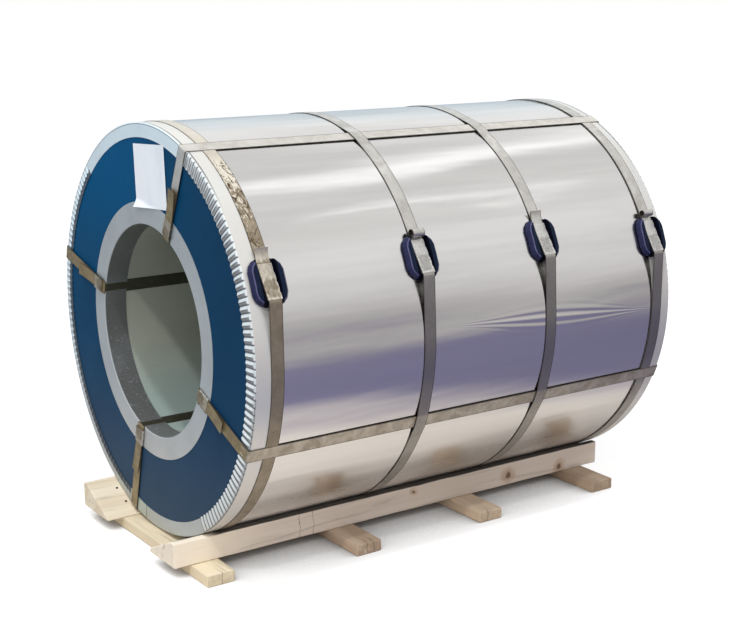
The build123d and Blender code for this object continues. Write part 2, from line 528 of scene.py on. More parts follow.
def galvanised_wrap():
    """Bright zinc sheet with faint rolling streaks, long waves, a pinched ripple and a patchy painted dark
    reflection towards its underside.
    """
    paint = start_paint("galvanised_wrap")
    streaks = paint.cloud((1.6, 50, 50), 3.0)
    patches = paint.cloud(2.2, 5.0, 0.6)
    smears = paint.cloud((1.4, 7, 7), 4.0, 0.6)
    height = paint.height()
    zinc = paint.blot((0.745, 0.745, 0.745), (0.785, 0.78, 0.775), streaks, 0.3, 0.7)
    zinc = paint.blot(zinc, (0.66, 0.655, 0.65), smears, 0.45, 0.72, 0.45)
    # Painted reflection: patchy dark brown-grey towards the bottom of the wrap, standing in for the dark
    # ground mirrored in it.
    painted_foot_reflection = paint.times(paint.ease(height, 0.28, 0.08), paint.ease(patches, 0.45, 0.64), 0.65)
    colour = paint.mix(painted_foot_reflection, zinc, (0.26, 0.23, 0.21))
    gloss = paint.ease(smears, 0.3, 0.7, 0.14, 0.22)
    gloss = paint.plus(gloss, paint.ease(height, 0.26, 0.08, 0.0, 0.18))
    bump = paint.relief(paint.cloud((0.9, 5.5, 5.5), 1.0), 0.85, 0.02)
    bump = paint.relief(paint.cloud((2.6, 17, 17), 2.0), 0.30, 0.004, bump)
    bump = paint.relief(pinched_ripple(paint), 1.0, ripple_depth, bump)
    bump = paint.relief(streaks, 0.03, 0.001, bump)
    return paint.finish(colour, gloss, bump, 1.0)


def fold_shade_and_lines(paint, colour, flange, inward):
    """Painted shade on the pleats: dark lines in the creases, darker down-facing sides and, on the +Y side,
    a toothed painted shadow at their inner ends; also the flange's seam and the dark lines round the ring's
    top.
    """
    angle = paint.angle()
    (left_first, left_last), (right_first, right_last) = pleat_sectors
    folded = flange
    for start, end in ((left_first, right_last), (right_first - 360, left_last)):
        plain = paint.between(angle, (start, start + pleat_blend), (end, end - pleat_blend))
        folded = paint.times(folded, paint.minus(1.0, plain))
    flat = paint.place((0, 1, 1), shift=(0, -axis.y, -axis.z))
    reach = paint.vector("LENGTH", flat, result="Value")
    left = paint.ease(paint.parts(flat)["Y"], -0.05, 0.20)
    valley = paint.away(paint.maths("FRACT", paint.over(angle, pleat_pitch)), 0.5)
    # Painted shadow: on the +Y side the inner part of the flange turns near-black along a toothed line, as
    # the shadow under the raised pleat ends.
    teeth = paint.plus(reach, paint.times(valley, -tooth_reach))
    outer = paint.ease(teeth, *(rim_radius - inset for inset in tooth_line))
    inner = paint.times(folded, left, paint.minus(1.0, outer), 0.9)
    folded = paint.times(folded, paint.minus(1.0, paint.times(left, 0.8)))
    # Painted shade: the down-facing sides of the pleats are darker, with dark lines in their valleys.
    shade = paint.times(folded, paint.ease(paint.facing()["Z"], -0.03, -0.12, 0.0, 0.85))
    crease = paint.times(folded, paint.ease(valley, 0.33, 0.45, 0.0, 0.9))
    green = paint.between(angle, (seam_angle, seam_angle + 0.3), green_ends, 0.3)
    seam = paint.times(flange, paint.ease(paint.away(angle, seam_angle), 0.32, 0.12, 0.0, 0.9))
    lap = paint.between(inward, (0.0035, 0.0050), (0.0085, 0.0070))
    lap = paint.times(lap, paint.between(angle, lap_start, lap_end, 0.8))
    groove = paint.ease(paint.away(reach, rim_radius - groove_depth), 0.0012, 0.0005, 0.0, 0.75)
    groove = paint.times(flange, groove, paint.between(angle, groove_start, groove_end))
    # The folds' greyer zinc, the green tint, the seam, the lap line and the groove line are marks of the
    # sheet itself. Shade, crease and inner are painted shade.
    for share, tone in (
        (paint.times(folded, 0.65), (0.84, 0.86, 0.86)), (shade, (0.19, 0.20, 0.21)),
        (crease, (0.08, 0.09, 0.10)), (inner, (0.012, 0.030, 0.055)),
        (paint.times(flange, green), (0.42, 0.58, 0.46)), (seam, (0.07, 0.08, 0.07)),
        (lap, (0.09, 0.10, 0.11)), (groove, (0.09, 0.11, 0.13)),
    ):
        colour = paint.mix(share, colour, tone)
    return colour


def ring_zinc(name, side_tone, flange_tone, painted_foot_tone, metal, pleated):
    """Duller zinc of an edge ring, with scuffs, a painted foot tone and, on a pleated ring, painted shade
    in its folds and the seam and lines of its sheet.
    """
    paint = start_paint(name)
    patches = paint.cloud(9, 5.0, 0.6)
    scuffs = paint.cloud(60, 6.0, 0.7, 0.6)
    x, y, z = paint.parts(paint.place(shift=-axis))
    inward = paint.minus(middle_x - face_x, paint.maths("ABSOLUTE", x))
    flange = paint.ease(inward, 0.004, 0.0015)
    # Painted light: the flange turns to painted_foot_tone towards the bottom. On the outer rings this is
    # darker painted shade, and on the inner rings a paler painted reflection of the floor.
    colour = paint.mix(flange, side_tone, paint.blot(flange_tone, painted_foot_tone, z, -0.12, -0.40))
    colour = paint.blot(colour, dim(flange_tone, 0.72), patches, 0.40, 0.75, 0.35)
    colour = paint.blot(colour, dim(flange_tone, 0.45), scuffs, 0.62, 0.78, 0.4)
    if pleated:
        colour = fold_shade_and_lines(paint, colour, flange, inward)
    else:
        flecks = paint.ease(paint.cloud(130, 5.0, 0.7, 1.2), 0.56, 0.66, 0.0, 0.6)
        bare = paint.times(paint.minus(1.0, flange), paint.ease(z, 0.05, -0.12), flecks)
        colour = paint.mix(bare, colour, dim(flange_tone, 1.1))
    return paint.coat(colour, scuffs, (0.30, 0.42), (0.12, 0.001), metal)


def liner_sheet():
    """Grey-green sheet inside the bore, smooth, with painted light that turns it paler and bluer towards
    the bottom, and a few long scratches.
    """
    paint = start_paint("liner_sheet")
    scratches = paint.cloud((1.2, 60, 60), 4.0, 0.6)
    clouds = paint.cloud((3, 5, 5), 3.0)
    colour = paint.blot((0.43, 0.455, 0.385), (0.37, 0.39, 0.33), clouds, 0.35, 0.7)
    # Painted light: the lower part of the bore is paler and bluer, where light from the front falls on it.
    colour = paint.blot(colour, (0.34, 0.44, 0.43), paint.height(), 0.45, 0.29, 0.8)
    colour = paint.blot(colour, (0.24, 0.27, 0.25), scratches, 0.62, 0.78, 0.30)
    return paint.coat(colour, scratches, (0.36, 0.46), (0.04, 0.001), 0.25)


def blue_disc():
    """Deep blue coated sheet with painted light towards its top on the +Y side, painted shade towards the
    -Y side, a greyer painted reflection towards its foot, and faint rub marks.
    """
    paint = start_paint("blue_disc")
    patches = paint.cloud((1, 5, 5), 5.0, 0.6)
    rubs = paint.cloud((1, 90, 14), 4.0, 0.6, turn=(0.5, 0, 0))
    x, left, up = paint.parts(paint.place())
    # Painted light: lighter blue towards the top on the +Y side.
    painted_light = paint.times(paint.ease(up, 0.45, 0.90), paint.ease(left, -0.30, 0.20))
    colour = paint.blot((0.003, 0.056, 0.138), (0.005, 0.046, 0.112), patches, 0.3, 0.7)
    colour = paint.mix(painted_light, colour, (0.0, 0.078, 0.205))
    # Painted shade: darker towards the -Y side.
    colour = paint.blot(colour, (0.004, 0.030, 0.074), left, 0.05, -0.42, 0.55)
    # Painted reflection: greyer towards the foot.
    colour = paint.blot(colour, (0.046, 0.072, 0.112), up, 0.50, 0.05, 0.75)
    colour = paint.blot(colour, (0.04, 0.11, 0.20), rubs, 0.66, 0.8, 0.15)
    return paint.coat(colour, patches, (0.38, 0.48), (0.10, 0.004), shine=0.03)


def strap_finish(name, pale, dark, metal, low_shade_share=0.0, flaked=False):
    """Steel strapping with rubs, a painted shadow along both edges, painted shade on its lower part and,
    where flaked, a mottled upper run.
    """
    paint = start_paint(name)
    rubs = paint.cloud(30, 6.0, 0.7, 0.4)
    specks = paint.cloud(170, 4.0, 0.65)
    colour = paint.blot(pale, dark, rubs, 0.32, 0.68)
    colour = paint.blot(colour, (0.10, 0.085, 0.07), specks, 0.66, 0.76, 0.45)
    # Painted shade: darker towards the bottom, up to low_shade_share.
    colour = paint.blot(colour, (0.15, 0.14, 0.125), paint.height(), 0.82, 0.60, low_shade_share)
    if flaked:
        angle = paint.angle()
        run = paint.between(angle, flake_start, flake_end)
        flakes = paint.cloud((85, 46, 46), 6.0, 0.72, 1.4)
        bare = paint.ease(angle, *bare_run, 0.60, 0.42)
        lifted = paint.ease(paint.minus(flakes, bare), -0.03, 0.03)
        pits = paint.ease(flakes, 0.47, 0.40)
        crown = paint.between(angle, pale_start, pale_end, 0.85)
        colour = paint.mix(paint.times(run, lifted), colour, (0.78, 0.73, 0.63))
        colour = paint.mix(paint.times(run, pits), colour, (0.065, 0.040, 0.022))
        colour = paint.mix(crown, colour, (0.72, 0.68, 0.60))
    # Painted shadow: dark bands along both edges of the strap.
    edge = paint.away(paint.across()["X"], 0.5)
    colour = paint.blot(colour, (0.045, 0.040, 0.033), edge, 0.42, 0.49, 0.8)
    return paint.coat(colour, rubs, (0.30, 0.46), (0.15, 0.001), metal)


def seal_finish(name, scale, tones):
    """Crimped sleeve, mottled from grime to bare metal, with the painted shade of a dent, a painted shadow
    down one side and a painted highlight down the other.
    """
    paint = start_paint(name)
    mottle = paint.cloud(scale, 6.0, 0.7, 0.8)
    share, along, unused = paint.across()
    # Painted shade of a dent: the middle of the lower part is darker.
    inside = paint.ease(paint.away(share, 0.5), 0.42, 0.36)
    dent = paint.times(inside, paint.between(along, (0.04, 0.10), (0.56, 0.50), 0.6))
    colour = paint.ramp(mottle, tuple(zip((0.34, 0.46, 0.60), tones)))
    colour = paint.mix(dent, colour, dim(tones[1], 0.62))
    colour = paint.blot(colour, dim(tones[2], 0.9), along, 0.54, 0.62, 0.6)
    # Painted shadow down one side of the sleeve, and a painted highlight down the other.
    colour = paint.blot(colour, (0.03, 0.028, 0.025), share, 0.03, -0.03, 0.85)
    colour = paint.blot(colour, (0.80, 0.79, 0.77), share, 0.97, 1.03, 0.6)
    return paint.coat(colour, mottle, (0.55, 0.32), (0.35, 0.002), 0.75)


def pad_plastic(name, deep, worn, shine):
    """Dark moulded plastic, scuffed paler on its high spots."""
    paint = start_paint(name)
    scuffs = paint.cloud(70, 6.0, 0.7, 0.3)
    colour = paint.blot(deep, worn, scuffs, 0.5, 0.72)
    return paint.coat(colour, scuffs, (0.22, 0.38), (0.10, 0.001), shine=shine)


def label_paper():
    """Plain pale paper with a soft crease."""
    paint = start_paint("label_paper")
    folds = paint.cloud((1, 16, 10), 2.0)
    colour = paint.blot((0.82, 0.87, 0.93), (0.74, 0.80, 0.88), folds, 0.4, 0.7)
    bump = paint.relief(paint.cloud(220, 3.0), 0.06, 0.0004, paint.relief(folds, 0.3, 0.003))
    return paint.finish(colour, 0.6, bump)


def pine(
    name, along, pale, warm, knots=(), cuts=(), splits=(), fresh_end=None, painted_top_shadow=False, end_shade=0.0
):
    """Sawn pine with grain along an axis, growth bands, saw lines, end splits and knots at given places."""
    paint = start_paint(name)
    grain = paint.cloud(stretched(along, 55.0, 3.0), 6.0, 0.62, 0.5)
    bands = paint.cloud(stretched(along, 16.0, 1.1), 3.0, 0.5, 0.9)
    fibres = paint.cloud(stretched(along, 240.0, 9.0), 4.0, 0.6)
    coords = paint.place()
    wander = paint.add("ShaderNodeTexNoise", {"Vector": coords, "Scale": 45.0, "Detail": 3.0})
    shaken = paint.vector("SUBTRACT", wander.outputs["Color"], grey(0.5))
    shaken = paint.vector("MULTIPLY", shaken, grey(0.02))
    spot = paint.vector("ADD", coords, shaken)
    place = paint.parts(spot)
    facing = paint.facing()
    run = place[along]
    colour = paint.blot(pale, warm, bands, 0.35, 0.68)
    if fresh_end:
        start, end, tone = fresh_end
        colour = paint.blot(colour, tone, run, start, end, 0.85)
    colour = paint.blot(colour, dim(warm, 0.58), grain, 0.54, 0.72, 0.62)
    colour = paint.blot(colour, dim(warm, 0.48), fibres, 0.6, 0.8, 0.35)
    if end_shade:
        cut_end = paint.ease(paint.maths("ABSOLUTE", facing[along]), 0.45, 0.85, 0.0, end_shade)
        pores = paint.ease(paint.cloud(70, 6.0, 0.7, 0.8), 0.36, 0.60, 0.45, 1.0)
        colour = paint.mix(paint.times(cut_end, pores), colour, dim(warm, 0.45))
    for knot, size in knots:
        distance = paint.vector("DISTANCE", spot, knot, "Value")
        colour = paint.blot(colour, (0.36, 0.22, 0.11), distance, size * 2.6, size, 0.55)
        colour = paint.blot(colour, (0.10, 0.055, 0.03), distance, size, size * 0.5, 0.85)
    for saw_line in cuts:
        colour = paint.blot(colour, (0.16, 0.115, 0.085), paint.away(run, saw_line), 0.0016, 0.0004, 0.65)
    for across, end, length in splits:
        crack = paint.ease(paint.away(place["X"], across), 0.0022, 0.0006)
        crack = paint.times(crack, paint.ease(run, end + length, end, 0.0, 0.5))
        colour = paint.mix(crack, colour, (0.05, 0.03, 0.02))
    # Painted shadow: near-black on the up-facing faces of the bearer beside the coil, from its front face
    # back.
    if painted_top_shadow:
        top = paint.ease(facing["Z"], 0.45, 0.75, 0.0, 0.92)
        under = paint.ease(run, face_x, face_x + 0.04)
        colour = paint.mix(paint.times(top, under), colour, (0.022, 0.018, 0.015))
    bump = paint.relief(grain, 0.20, 0.0015, paint.relief(fibres, 0.30, 0.0012))
    return paint.finish(colour, 0.72, bump)


def nail_head():
    """Dark, slightly rusty nail head."""
    paint = start_paint("nail_head")
    colour = paint.blot((0.035, 0.030, 0.028), (0.10, 0.05, 0.03), paint.cloud(400), 0.4, 0.6)
    return paint.finish(colour, 0.6, metal=0.6)


# Sheet packing round the coil
def wavy(bm, depth):
    """Dent a turned sheet inwards, in long waves along the coil."""
    for vert in bm.verts:
        radius = math.hypot(vert.co.y, vert.co.z)
        wave = noise.noise(Vector((vert.co.x * 1.6, vert.co.y * 8, vert.co.z * 8)))
        share = 1 - depth * (0.5 + 0.5 * max(-1.0, min(1.0, wave))) / radius
        vert.co = Vector((vert.co.x, vert.co.y * share, vert.co.z * share))


def make_wrap(material):
    """Outer wrap: a thin tube of sheet."""
    low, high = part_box("outer_wrap")
    bm = turned(((low.x, wrap_radius), (high.x, wrap_radius)), 420, closed=False)
    slice_along(bm, (1, 0, 0), low.x, high.x, 44)
    wavy(bm, wave_depth)
    thicken(bm, wrap_wall)
    to_axis(bm)
    make_piece("wrap_sheet", bm, (material,), "outer_wrap")


def make_liner(material):
    """Bore liner: a thin tube inside the coil."""
    low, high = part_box("bore_liner")
    inner = liner_radius - sheet
    bm = turned(((low.x, inner), (high.x, inner), (high.x, liner_radius), (low.x, liner_radius)), 180)
    to_axis(bm)
    make_piece("bore_sheet", bm, (material,), "bore_liner")


def make_disc(end, material):
    """End disc: flat sheet with its bore."""
    hole = liner_radius + lay_gap
    edge = radius_of("end_disc_front")
    back_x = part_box("end_disc_front")[1].x
    bm = turned(((disc_x, hole), (disc_x, edge), (back_x, edge), (back_x, hole)), 220)
    to_end(bm, end)
    make_piece(f"blue_sheet_{end}", bm, (material,), f"end_disc_{end}")


def make_inner_ring(end, material):
    """Inner edge ring: flange on the face and lip into the bore."""
    outer = inner_flange_radius
    fold = lip_radius + sheet
    profile = (
        (face_x, lip_radius), (face_x, outer), (face_x + sheet, outer),
        (face_x + sheet, fold), (lip_back_x, fold), (lip_back_x, lip_radius),
    )
    bm = turned(profile, 220)
    round_ring(bm, face_x, lip_radius, fold_radius, 4)
    to_end(bm, end)
    make_piece(f"eye_ring_{end}", bm, (material,), f"inner_edge_ring_{end}")


def pleat():
    """One crimped fold of the flange at angle zero: a radial ridge with a toothed inner end."""
    inner = rim_radius - outer_flange_reach
    root = rim_radius - pleat_root_gap
    half = math.radians(pleat_pitch) / 2
    bm = plate(1, 1, 2, 4)
    for vert in bm.verts:
        along = vert.co.y + 0.5
        side = 2 * vert.co.x
        crest = 1 - abs(side)
        radius = inner - pleat_tooth * crest * (1 - along) + (root - inner) * along
        swell = math.sqrt(max(0.0, 1 - (2 * along - 0.9) ** 2 / 1.44))
        rise = (face_x - pleat_x - pleat_wall) * crest * swell
        spread = side * (radius * math.tan(half) - pleat_gap / 2)
        vert.co = Vector((face_x - rise, radius, spread))
    ridge = [edge for edge in bm.edges if all(abs(vert.co.z) < sheet / 20 for vert in edge.verts)]
    bevel(bm, ridge, pleat_ridge, 2)
    thicken(bm, pleat_wall)
    return bm


def make_outer_ring(end, material):
    """Outer edge ring: skirt over the wrap, flange on the face, and its crimped pleats."""
    inner = rim_radius - outer_flange_reach
    under = rim_radius - sheet
    profile = (
        (face_x, inner), (face_x, rim_radius), (skirt_back_x, rim_radius),
        (skirt_back_x, under), (face_x + sheet, under), (face_x + sheet, inner),
    )
    bm = turned(profile, 256)
    round_ring(bm, face_x, rim_radius, fold_radius, 4)
    for first, last in pleat_sectors:
        fold = pleat()
        count = int((first - last) / pleat_pitch)
        rotate(fold, around(first - (count - 0.5) * pleat_pitch))
        bmesh.ops.spin(
            fold, geom=fold.verts[:] + fold.edges[:] + fold.faces[:], cent=(0, 0, 0), axis=(1, 0, 0),
            angle=math.radians(pleat_pitch * (count - 1)), steps=count - 1, use_duplicate=True,
        )
        join(bm, fold)
    to_end(bm, end)
    make_piece(f"rim_ring_{end}", bm, (material,), f"outer_edge_ring_{end}", 30.0)


# Straps, pads and seals
def tent(base, *corners):
    """Corners (angle, radius) of a taut band's run over a bump, with its feet on the coil."""
    first, near = corners[0]
    last, far = corners[-1]
    upper_foot = (first - math.degrees(math.acos(base / near)), base)
    lower_foot = (last + math.degrees(math.acos(base / far)), base)
    return (upper_foot, *corners, lower_foot)


def taut_radius(angle, base, tents):
    """Radius of a taut band at an angle, lifted over its tents."""
    reach = base
    for corners in tents:
        for (first, near), (last, far) in zip(corners, corners[1:]):
            turn = (angle - first + 180) % 360 - 180
            if 0 <= turn <= last - first:
                part = math.radians(turn)
                rest = math.radians(last - first - turn)
                span = near * math.sin(part) + far * math.sin(rest)
                reach = max(reach, near * far * math.sin(part + rest) / span)
    return reach


def pad_seat(number):
    """Radius on which a pad lies."""
    return (rim_radius if girth_on_skirt[number] else wrap_radius) + lay_gap


def joint_apex(number):
    """Angle and radius of a girth strap's bend over the lower edge of its pad's top."""
    top = pad_seat(number) + pad_height
    half = pad_length / 2 - pad_slope
    angle = pad_angles[number] + math.degrees(math.atan2(half, top))
    return angle, math.hypot(half, top) + seal_wall + 2 * lay_gap


def joint_run(number):
    """Angle at which a girth strap leaves the coil on the way to its bend, and the length of that run."""
    angle, reach = joint_apex(number)
    lift = math.acos(pad_seat(number) / reach)
    return angle - math.degrees(lift), reach * math.sin(lift)


def girth_path(number):
    """Base radius and tents of a girth strap."""
    base = pad_seat(number)
    tents = [tent(base, joint_apex(number))]
    if not girth_on_skirt[number]:
        top = rim_radius + 2 * (lay_gap + strap_thickness) + lay_gap
        corner = math.degrees(math.atan2(strap_width / 2, top))
        reach = math.hypot(strap_width / 2, top)
        tents += [tent(base, (angle - corner, reach), (angle + corner, reach)) for angle in eye_angles]
    return base, tents


def girth_station(number):
    """Middle of a girth strap along the coil."""
    low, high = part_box(f"girth_strap_{number + 1}")
    return (low.x + high.x) / 2


def mark_across(bm, middle, direction):
    """Give a band a UV map with its shares across the strap's width and along the seal."""
    layer = bm.loops.layers.uv.new("across")
    for face in bm.faces:
        for loop in face.loops:
            offset = (loop.vert.co - Vector(middle)).dot(Vector(direction))
            loop[layer].uv = (offset / strap_width + 0.5, loop.vert.co.y / seal_length + 0.5)


def make_girth_strap(number, material):
    """Girth strap: a taut flat band, lifted over its pad and the straps that it crosses."""
    base, tents = girth_path(number)
    station = girth_station(number)
    bm = bmesh.new()
    bmesh.ops.create_circle(bm, cap_ends=False, radius=1, segments=1080)
    rotate(bm, quarter_turn)
    for vert in bm.verts:
        angle = math.degrees(math.atan2(vert.co.z, vert.co.y))
        vert.co = outward(angle) * taut_radius(angle, base, tents)
        vert.co.x = station - strap_width / 2
    pull(bm, bmesh.ops.extrude_edge_only(bm, edges=bm.edges), (strap_width, 0, 0))
    thicken(bm, -strap_thickness)
    mark_across(bm, (station, 0, 0), (1, 0, 0))
    to_axis(bm)
    make_piece(f"girth_band_{number + 1}", bm, (material,), f"girth_strap_{number + 1}")


def at_joint(bm, number):
    """Bend a flat shape onto the coil at a joint: x along the coil, y up the coil, z away from it."""
    base = pad_seat(number)
    station = girth_station(number)
    for vert in bm.verts:
        angle = pad_angles[number] - math.degrees(vert.co.y / base)
        place = outward(angle) * (base + vert.co.z)
        vert.co = Vector((station + vert.co.x, place.y, place.z))
    to_axis(bm)


def stand_on_run(bm, number, back, level):
    """Stand a shape on the straight run of a strap: x along the coil, y up the coil, z away from it."""
    angle, length = joint_run(number)
    shift(bm, (girth_station(number), back - length, pad_seat(number) + level))
    rotate(bm, around(angle - 90))
    to_axis(bm)


def make_pad(number, finishes):
    """Strap pad: a moulded cushion round the coil, with finishes for its top, rim, channel and sides:
    painted shade on the top, a painted highlight on the rim and a painted shadow in the channel.
    """
    bm = plate(pad_width, pad_length)
    bevel(bm, bm.verts[:], pad_corner, 3, "VERTICES", 0.45)
    wall = bmesh.ops.extrude_face_region(bm, geom=bm.faces[:])
    top = [item for item in wall["geom"] if isinstance(item, bmesh.types.BMFace)]
    pull(bm, wall, (0, 0, pad_wall))
    bmesh.ops.inset_region(
        bm, faces=top, thickness=pad_slope, depth=pad_height - pad_wall, use_even_offset=True
    )
    bmesh.ops.recalc_face_normals(bm, faces=bm.faces)
    soften(bm, pad_round, 2, 35.0)
    bm.normal_update()
    # By how far each face points out: the flat top gets the painted shade copy, the roundings the painted
    # highlight copy, and the slopes and walls the plain finish.
    for face in bm.faces:
        up = abs(face.normal.z)
        face.material_index = 0 if up > 0.96 else 1 if up > 0.63 else 3
    slice_along(bm, (0, 1, 0), -pad_length / 2, pad_length / 2, 16)
    half = pad_channel / 2
    for offset in (-half - pad_channel_side, -half, half, half + pad_channel_side):
        cut(bm, (offset, 0, 0), (1, 0, 0))
    foot, length = joint_run(number)
    floor = pad_seat(number) - seal_wall - 2 * lay_gap
    for vert in bm.verts:
        if abs(vert.co.x) < half + sheet / 2:
            angle = pad_angles[number] - math.degrees(vert.co.y / pad_seat(number))
            level = floor / math.cos(math.radians(angle - foot)) - pad_seat(number)
            vert.co.z = min(vert.co.z, max(level, 0))
    # Painted shadow: the channel under the seal takes the near-black finish.
    for face in bm.faces:
        if abs(face.calc_center_median().x) < half + pad_channel_side:
            face.material_index = 2
    at_joint(bm, number)
    make_piece(f"cushion_pad_{number + 1}", bm, finishes, f"strap_pad_{number + 1}", 14.0)


def sleeve(length, width, depth, crimps):
    """Crimped sleeve lying flat, x across the strap and y along it, pinched at its crimps."""
    bm = block((width, length, depth))
    rows = 4 * crimps + 2
    slice_along(bm, (0, 1, 0), -length / 2, length / 2, rows)
    slice_along(bm, (1, 0, 0), -width / 2, width / 2, 6)
    for vert in bm.verts:
        row = round((vert.co.y + length / 2) / (length / rows))
        if row % 4 == 3 and abs(vert.co.x) > width * 0.3:
            vert.co.z *= 0.70
            vert.co.x *= 0.95
    soften(bm, seal_round, 2, 50.0)
    mark_across(bm, (0, 0, 0), (1, 0, 0))
    return bm


def make_girth_seal(number, material):
    """Seal of a girth strap over its pad."""
    depth = 2 * seal_wall + strap_thickness + 2 * lay_gap
    bm = sleeve(seal_length, strap_width + 2 * seal_side, depth, 3)
    stand_on_run(bm, number, seal_back, strap_thickness / 2)
    make_piece(f"girth_clip_{number + 1}", bm, (material,), f"girth_seal_{number + 1}")


def make_tail_roll(number, materials):
    """Free end of a girth strap at the top of the joint, bent or curled up, with painted shade inside a
    curl.
    """
    radius, sweep = tail_curls[number]
    bm = bmesh.new()
    ends = [bm.verts.new((side * strap_width / 2, 0, -radius)) for side in (-1, 1)]
    edge = bm.edges.new(ends)
    bmesh.ops.spin(
        bm, geom=ends + [edge], cent=(0, 0, 0), axis=(1, 0, 0), angle=math.radians(sweep), steps=36
    )
    thicken(bm, strap_thickness)
    bmesh.ops.recalc_face_normals(bm, faces=bm.faces)
    # Painted shade: the inner faces of a full curl take the dark finish.
    for face in bm.faces:
        middle = face.calc_center_median()
        inside = face.normal.dot(Vector((0, middle.y, middle.z))) < -radius / 2
        face.material_index = 1 if inside and sweep > 180 else 0
    mark_across(bm, (0, 0, 0), (1, 0, 0))
    stand_on_run(bm, number, tail_backs[number], strap_thickness / 2 + radius)
    make_piece(f"strap_tail_{number + 1}", bm, materials)


def make_eye_strap(number, materials, outer_from):
    """Eye strap: a flat band through the bore and round the outside, with its lap on the front."""
    low_x = eye_tail_x + 2 * strap_thickness
    high_x = 2 * middle_x - low_x
    low_r = lip_radius - lay_gap
    high_r = rim_radius + 2 * lay_gap + strap_thickness
    bm = plate(high_x - low_x, high_r - low_r)
    shift(bm, (middle_x, (high_r + low_r) / 2, -strap_width / 2))
    bevel(bm, bm.verts[:], eye_fold, 5, "VERTICES")
    rim = [edge for edge in bm.edges if edge.is_boundary]
    caps = bm.faces[:]
    pull(bm, bmesh.ops.extrude_edge_only(bm, edges=rim), (0, 0, strap_width))
    bmesh.ops.delete(bm, geom=caps, context="FACES_ONLY")
    thicken(bm, strap_thickness)
    start, end = eye_tail
    lap = block((strap_thickness, end - start, strap_width * 0.98))
    shift(lap, (low_x - strap_thickness * 3 / 2, (start + end) / 2, 0))
    slice_along(lap, (0, 1, 0), start, end, 12)
    for vert in lap.verts:
        free = max(0.0, (vert.co.y - start) / (end - start) - eye_tail_held) / (1 - eye_tail_held)
        vert.co.x -= eye_tail_lifts[number] * free ** 1.5
    join(bm, lap)
    cut(bm, (0, outer_from, 0), (0, 1, 0))
    for face in bm.faces:
        reach = face.calc_center_median().y
        # Index 2, the part inside the bore, takes the dark bronze copy: painted shade.
        face.material_index = 1 if reach > outer_from else 2 if reach < lip_radius else 0
    mark_across(bm, (0, 0, 0), (0, 0, 1))
    rotate(bm, around(eye_angles[number]))
    to_axis(bm)
    make_piece(f"eye_band_{number + 1}", bm, materials, f"eye_strap_{number + 1}")


def make_eye_seal(number, material):
    """Seal of an eye strap on the front face, close to the bore."""
    depth = 2 * (seal_wall + strap_thickness + lay_gap)
    bm = sleeve(eye_seal_length, strap_width + 2 * seal_side, depth, 2)
    rotate(bm, quarter_turn)
    shift(bm, (eye_tail_x + strap_thickness, eye_seal_middle, 0))
    rotate(bm, around(eye_angles[number]))
    to_axis(bm)
    make_piece(f"eye_clip_{number + 1}", bm, (material,), f"eye_seal_{number + 1}")


def make_label(material):
    """Paper label on the front disc, its lower left corner lifted off the face."""
    bm = plate(label_width, label_height, 24, 48)
    for vert in bm.verts:
        down = 0.5 - vert.co.y / label_height
        left = vert.co.x / label_width + 0.5
        lift = max(0.0, down + 0.2 * left - 1.06) / 0.14
        vert.co.z = label_curl * lift ** 1.4
    thicken(bm, label_wall)
    rotate(bm, Matrix.Rotation(math.radians(label_tilt), 4, "Z"))
    upright = Matrix(((0, 0, -1), (1, 0, 0), (0, 1, 0))).to_4x4()
    bmesh.ops.transform(bm, matrix=upright, verts=bm.verts)
    shift(bm, (face_x - label_stand_off, *label_middle))
    to_axis(bm)
    make_piece("paper_sheet", bm, (material,), "paper_label")


# Timber skid
def rough_sawn(bm, scale):
    """Shake the surface of a timber a little, within its own box."""
    noise.seed_set(saw_seed)
    low = [min(vert.co[number] for vert in bm.verts) for number in range(3)]
    high = [max(vert.co[number] for vert in bm.verts) for number in range(3)]
    for vert in bm.verts:
        moved = vert.co + noise.noise_vector(vert.co * scale) * saw_depth
        vert.co = [min(max(value, near), far) for value, near, far in zip(moved, low, high)]


def make_bearer(side, material):
    """Bearer: bevelled timber beside the coil, its seat raised a little between the skirts."""
    low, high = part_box(f"bearer_{side}")
    sign = 1 if side == "left" else -1
    inner, outer = sorted((abs(low.y), abs(high.y)))
    nose = bearer_noses[side]
    slope = math.radians(seat_angle)
    top_inner = inner + (high.z - low.z - nose) / math.tan(slope)
    outline = (
        (inner, low.z), (outer, low.z), (outer, high.z), (top_inner, high.z), (inner, low.z + nose),
    )
    bm = bmesh.new()
    end = bm.faces.new([bm.verts.new((low.x, sign * y, z)) for y, z in outline])
    pull(bm, bmesh.ops.extrude_face_region(bm, geom=[end]), (high.x - low.x, 0, 0))
    bmesh.ops.recalc_face_normals(bm, faces=bm.faces)
    soften(bm, timber_round, 3, 20.0)
    slice_along(bm, (1, 0, 0), low.x, high.x, 60)
    rise = Vector((0, -sign * math.sin(slope), math.cos(slope)))
    seat = Vector((0, sign * inner, low.z + nose))
    for vert in bm.verts:
        on_seat = abs((vert.co - seat).dot(rise)) < timber_round / 2
        between = abs(vert.co.x - middle_x) < middle_x - skirt_back_x - timber_round
        if on_seat and between:
            vert.co += rise * (cad_high.y - wrap_radius + wave_depth / 2)
    rough_sawn(bm, 14.0)
    make_piece(f"timber_bearer_{side}", bm, (material,), f"bearer_{side}")


def make_board(number, material):
    """Cross board: flat sawn board under the bearers."""
    low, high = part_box(f"cross_board_{number}")
    bm = block(high - low, (low + high) / 2)
    soften(bm, timber_round, 3)
    slice_along(bm, (0, 1, 0), low.y, high.y, 40)
    rough_sawn(bm, 17.0 + number)
    make_piece(f"skid_board_{number}", bm, (material,), f"cross_board_{number}")


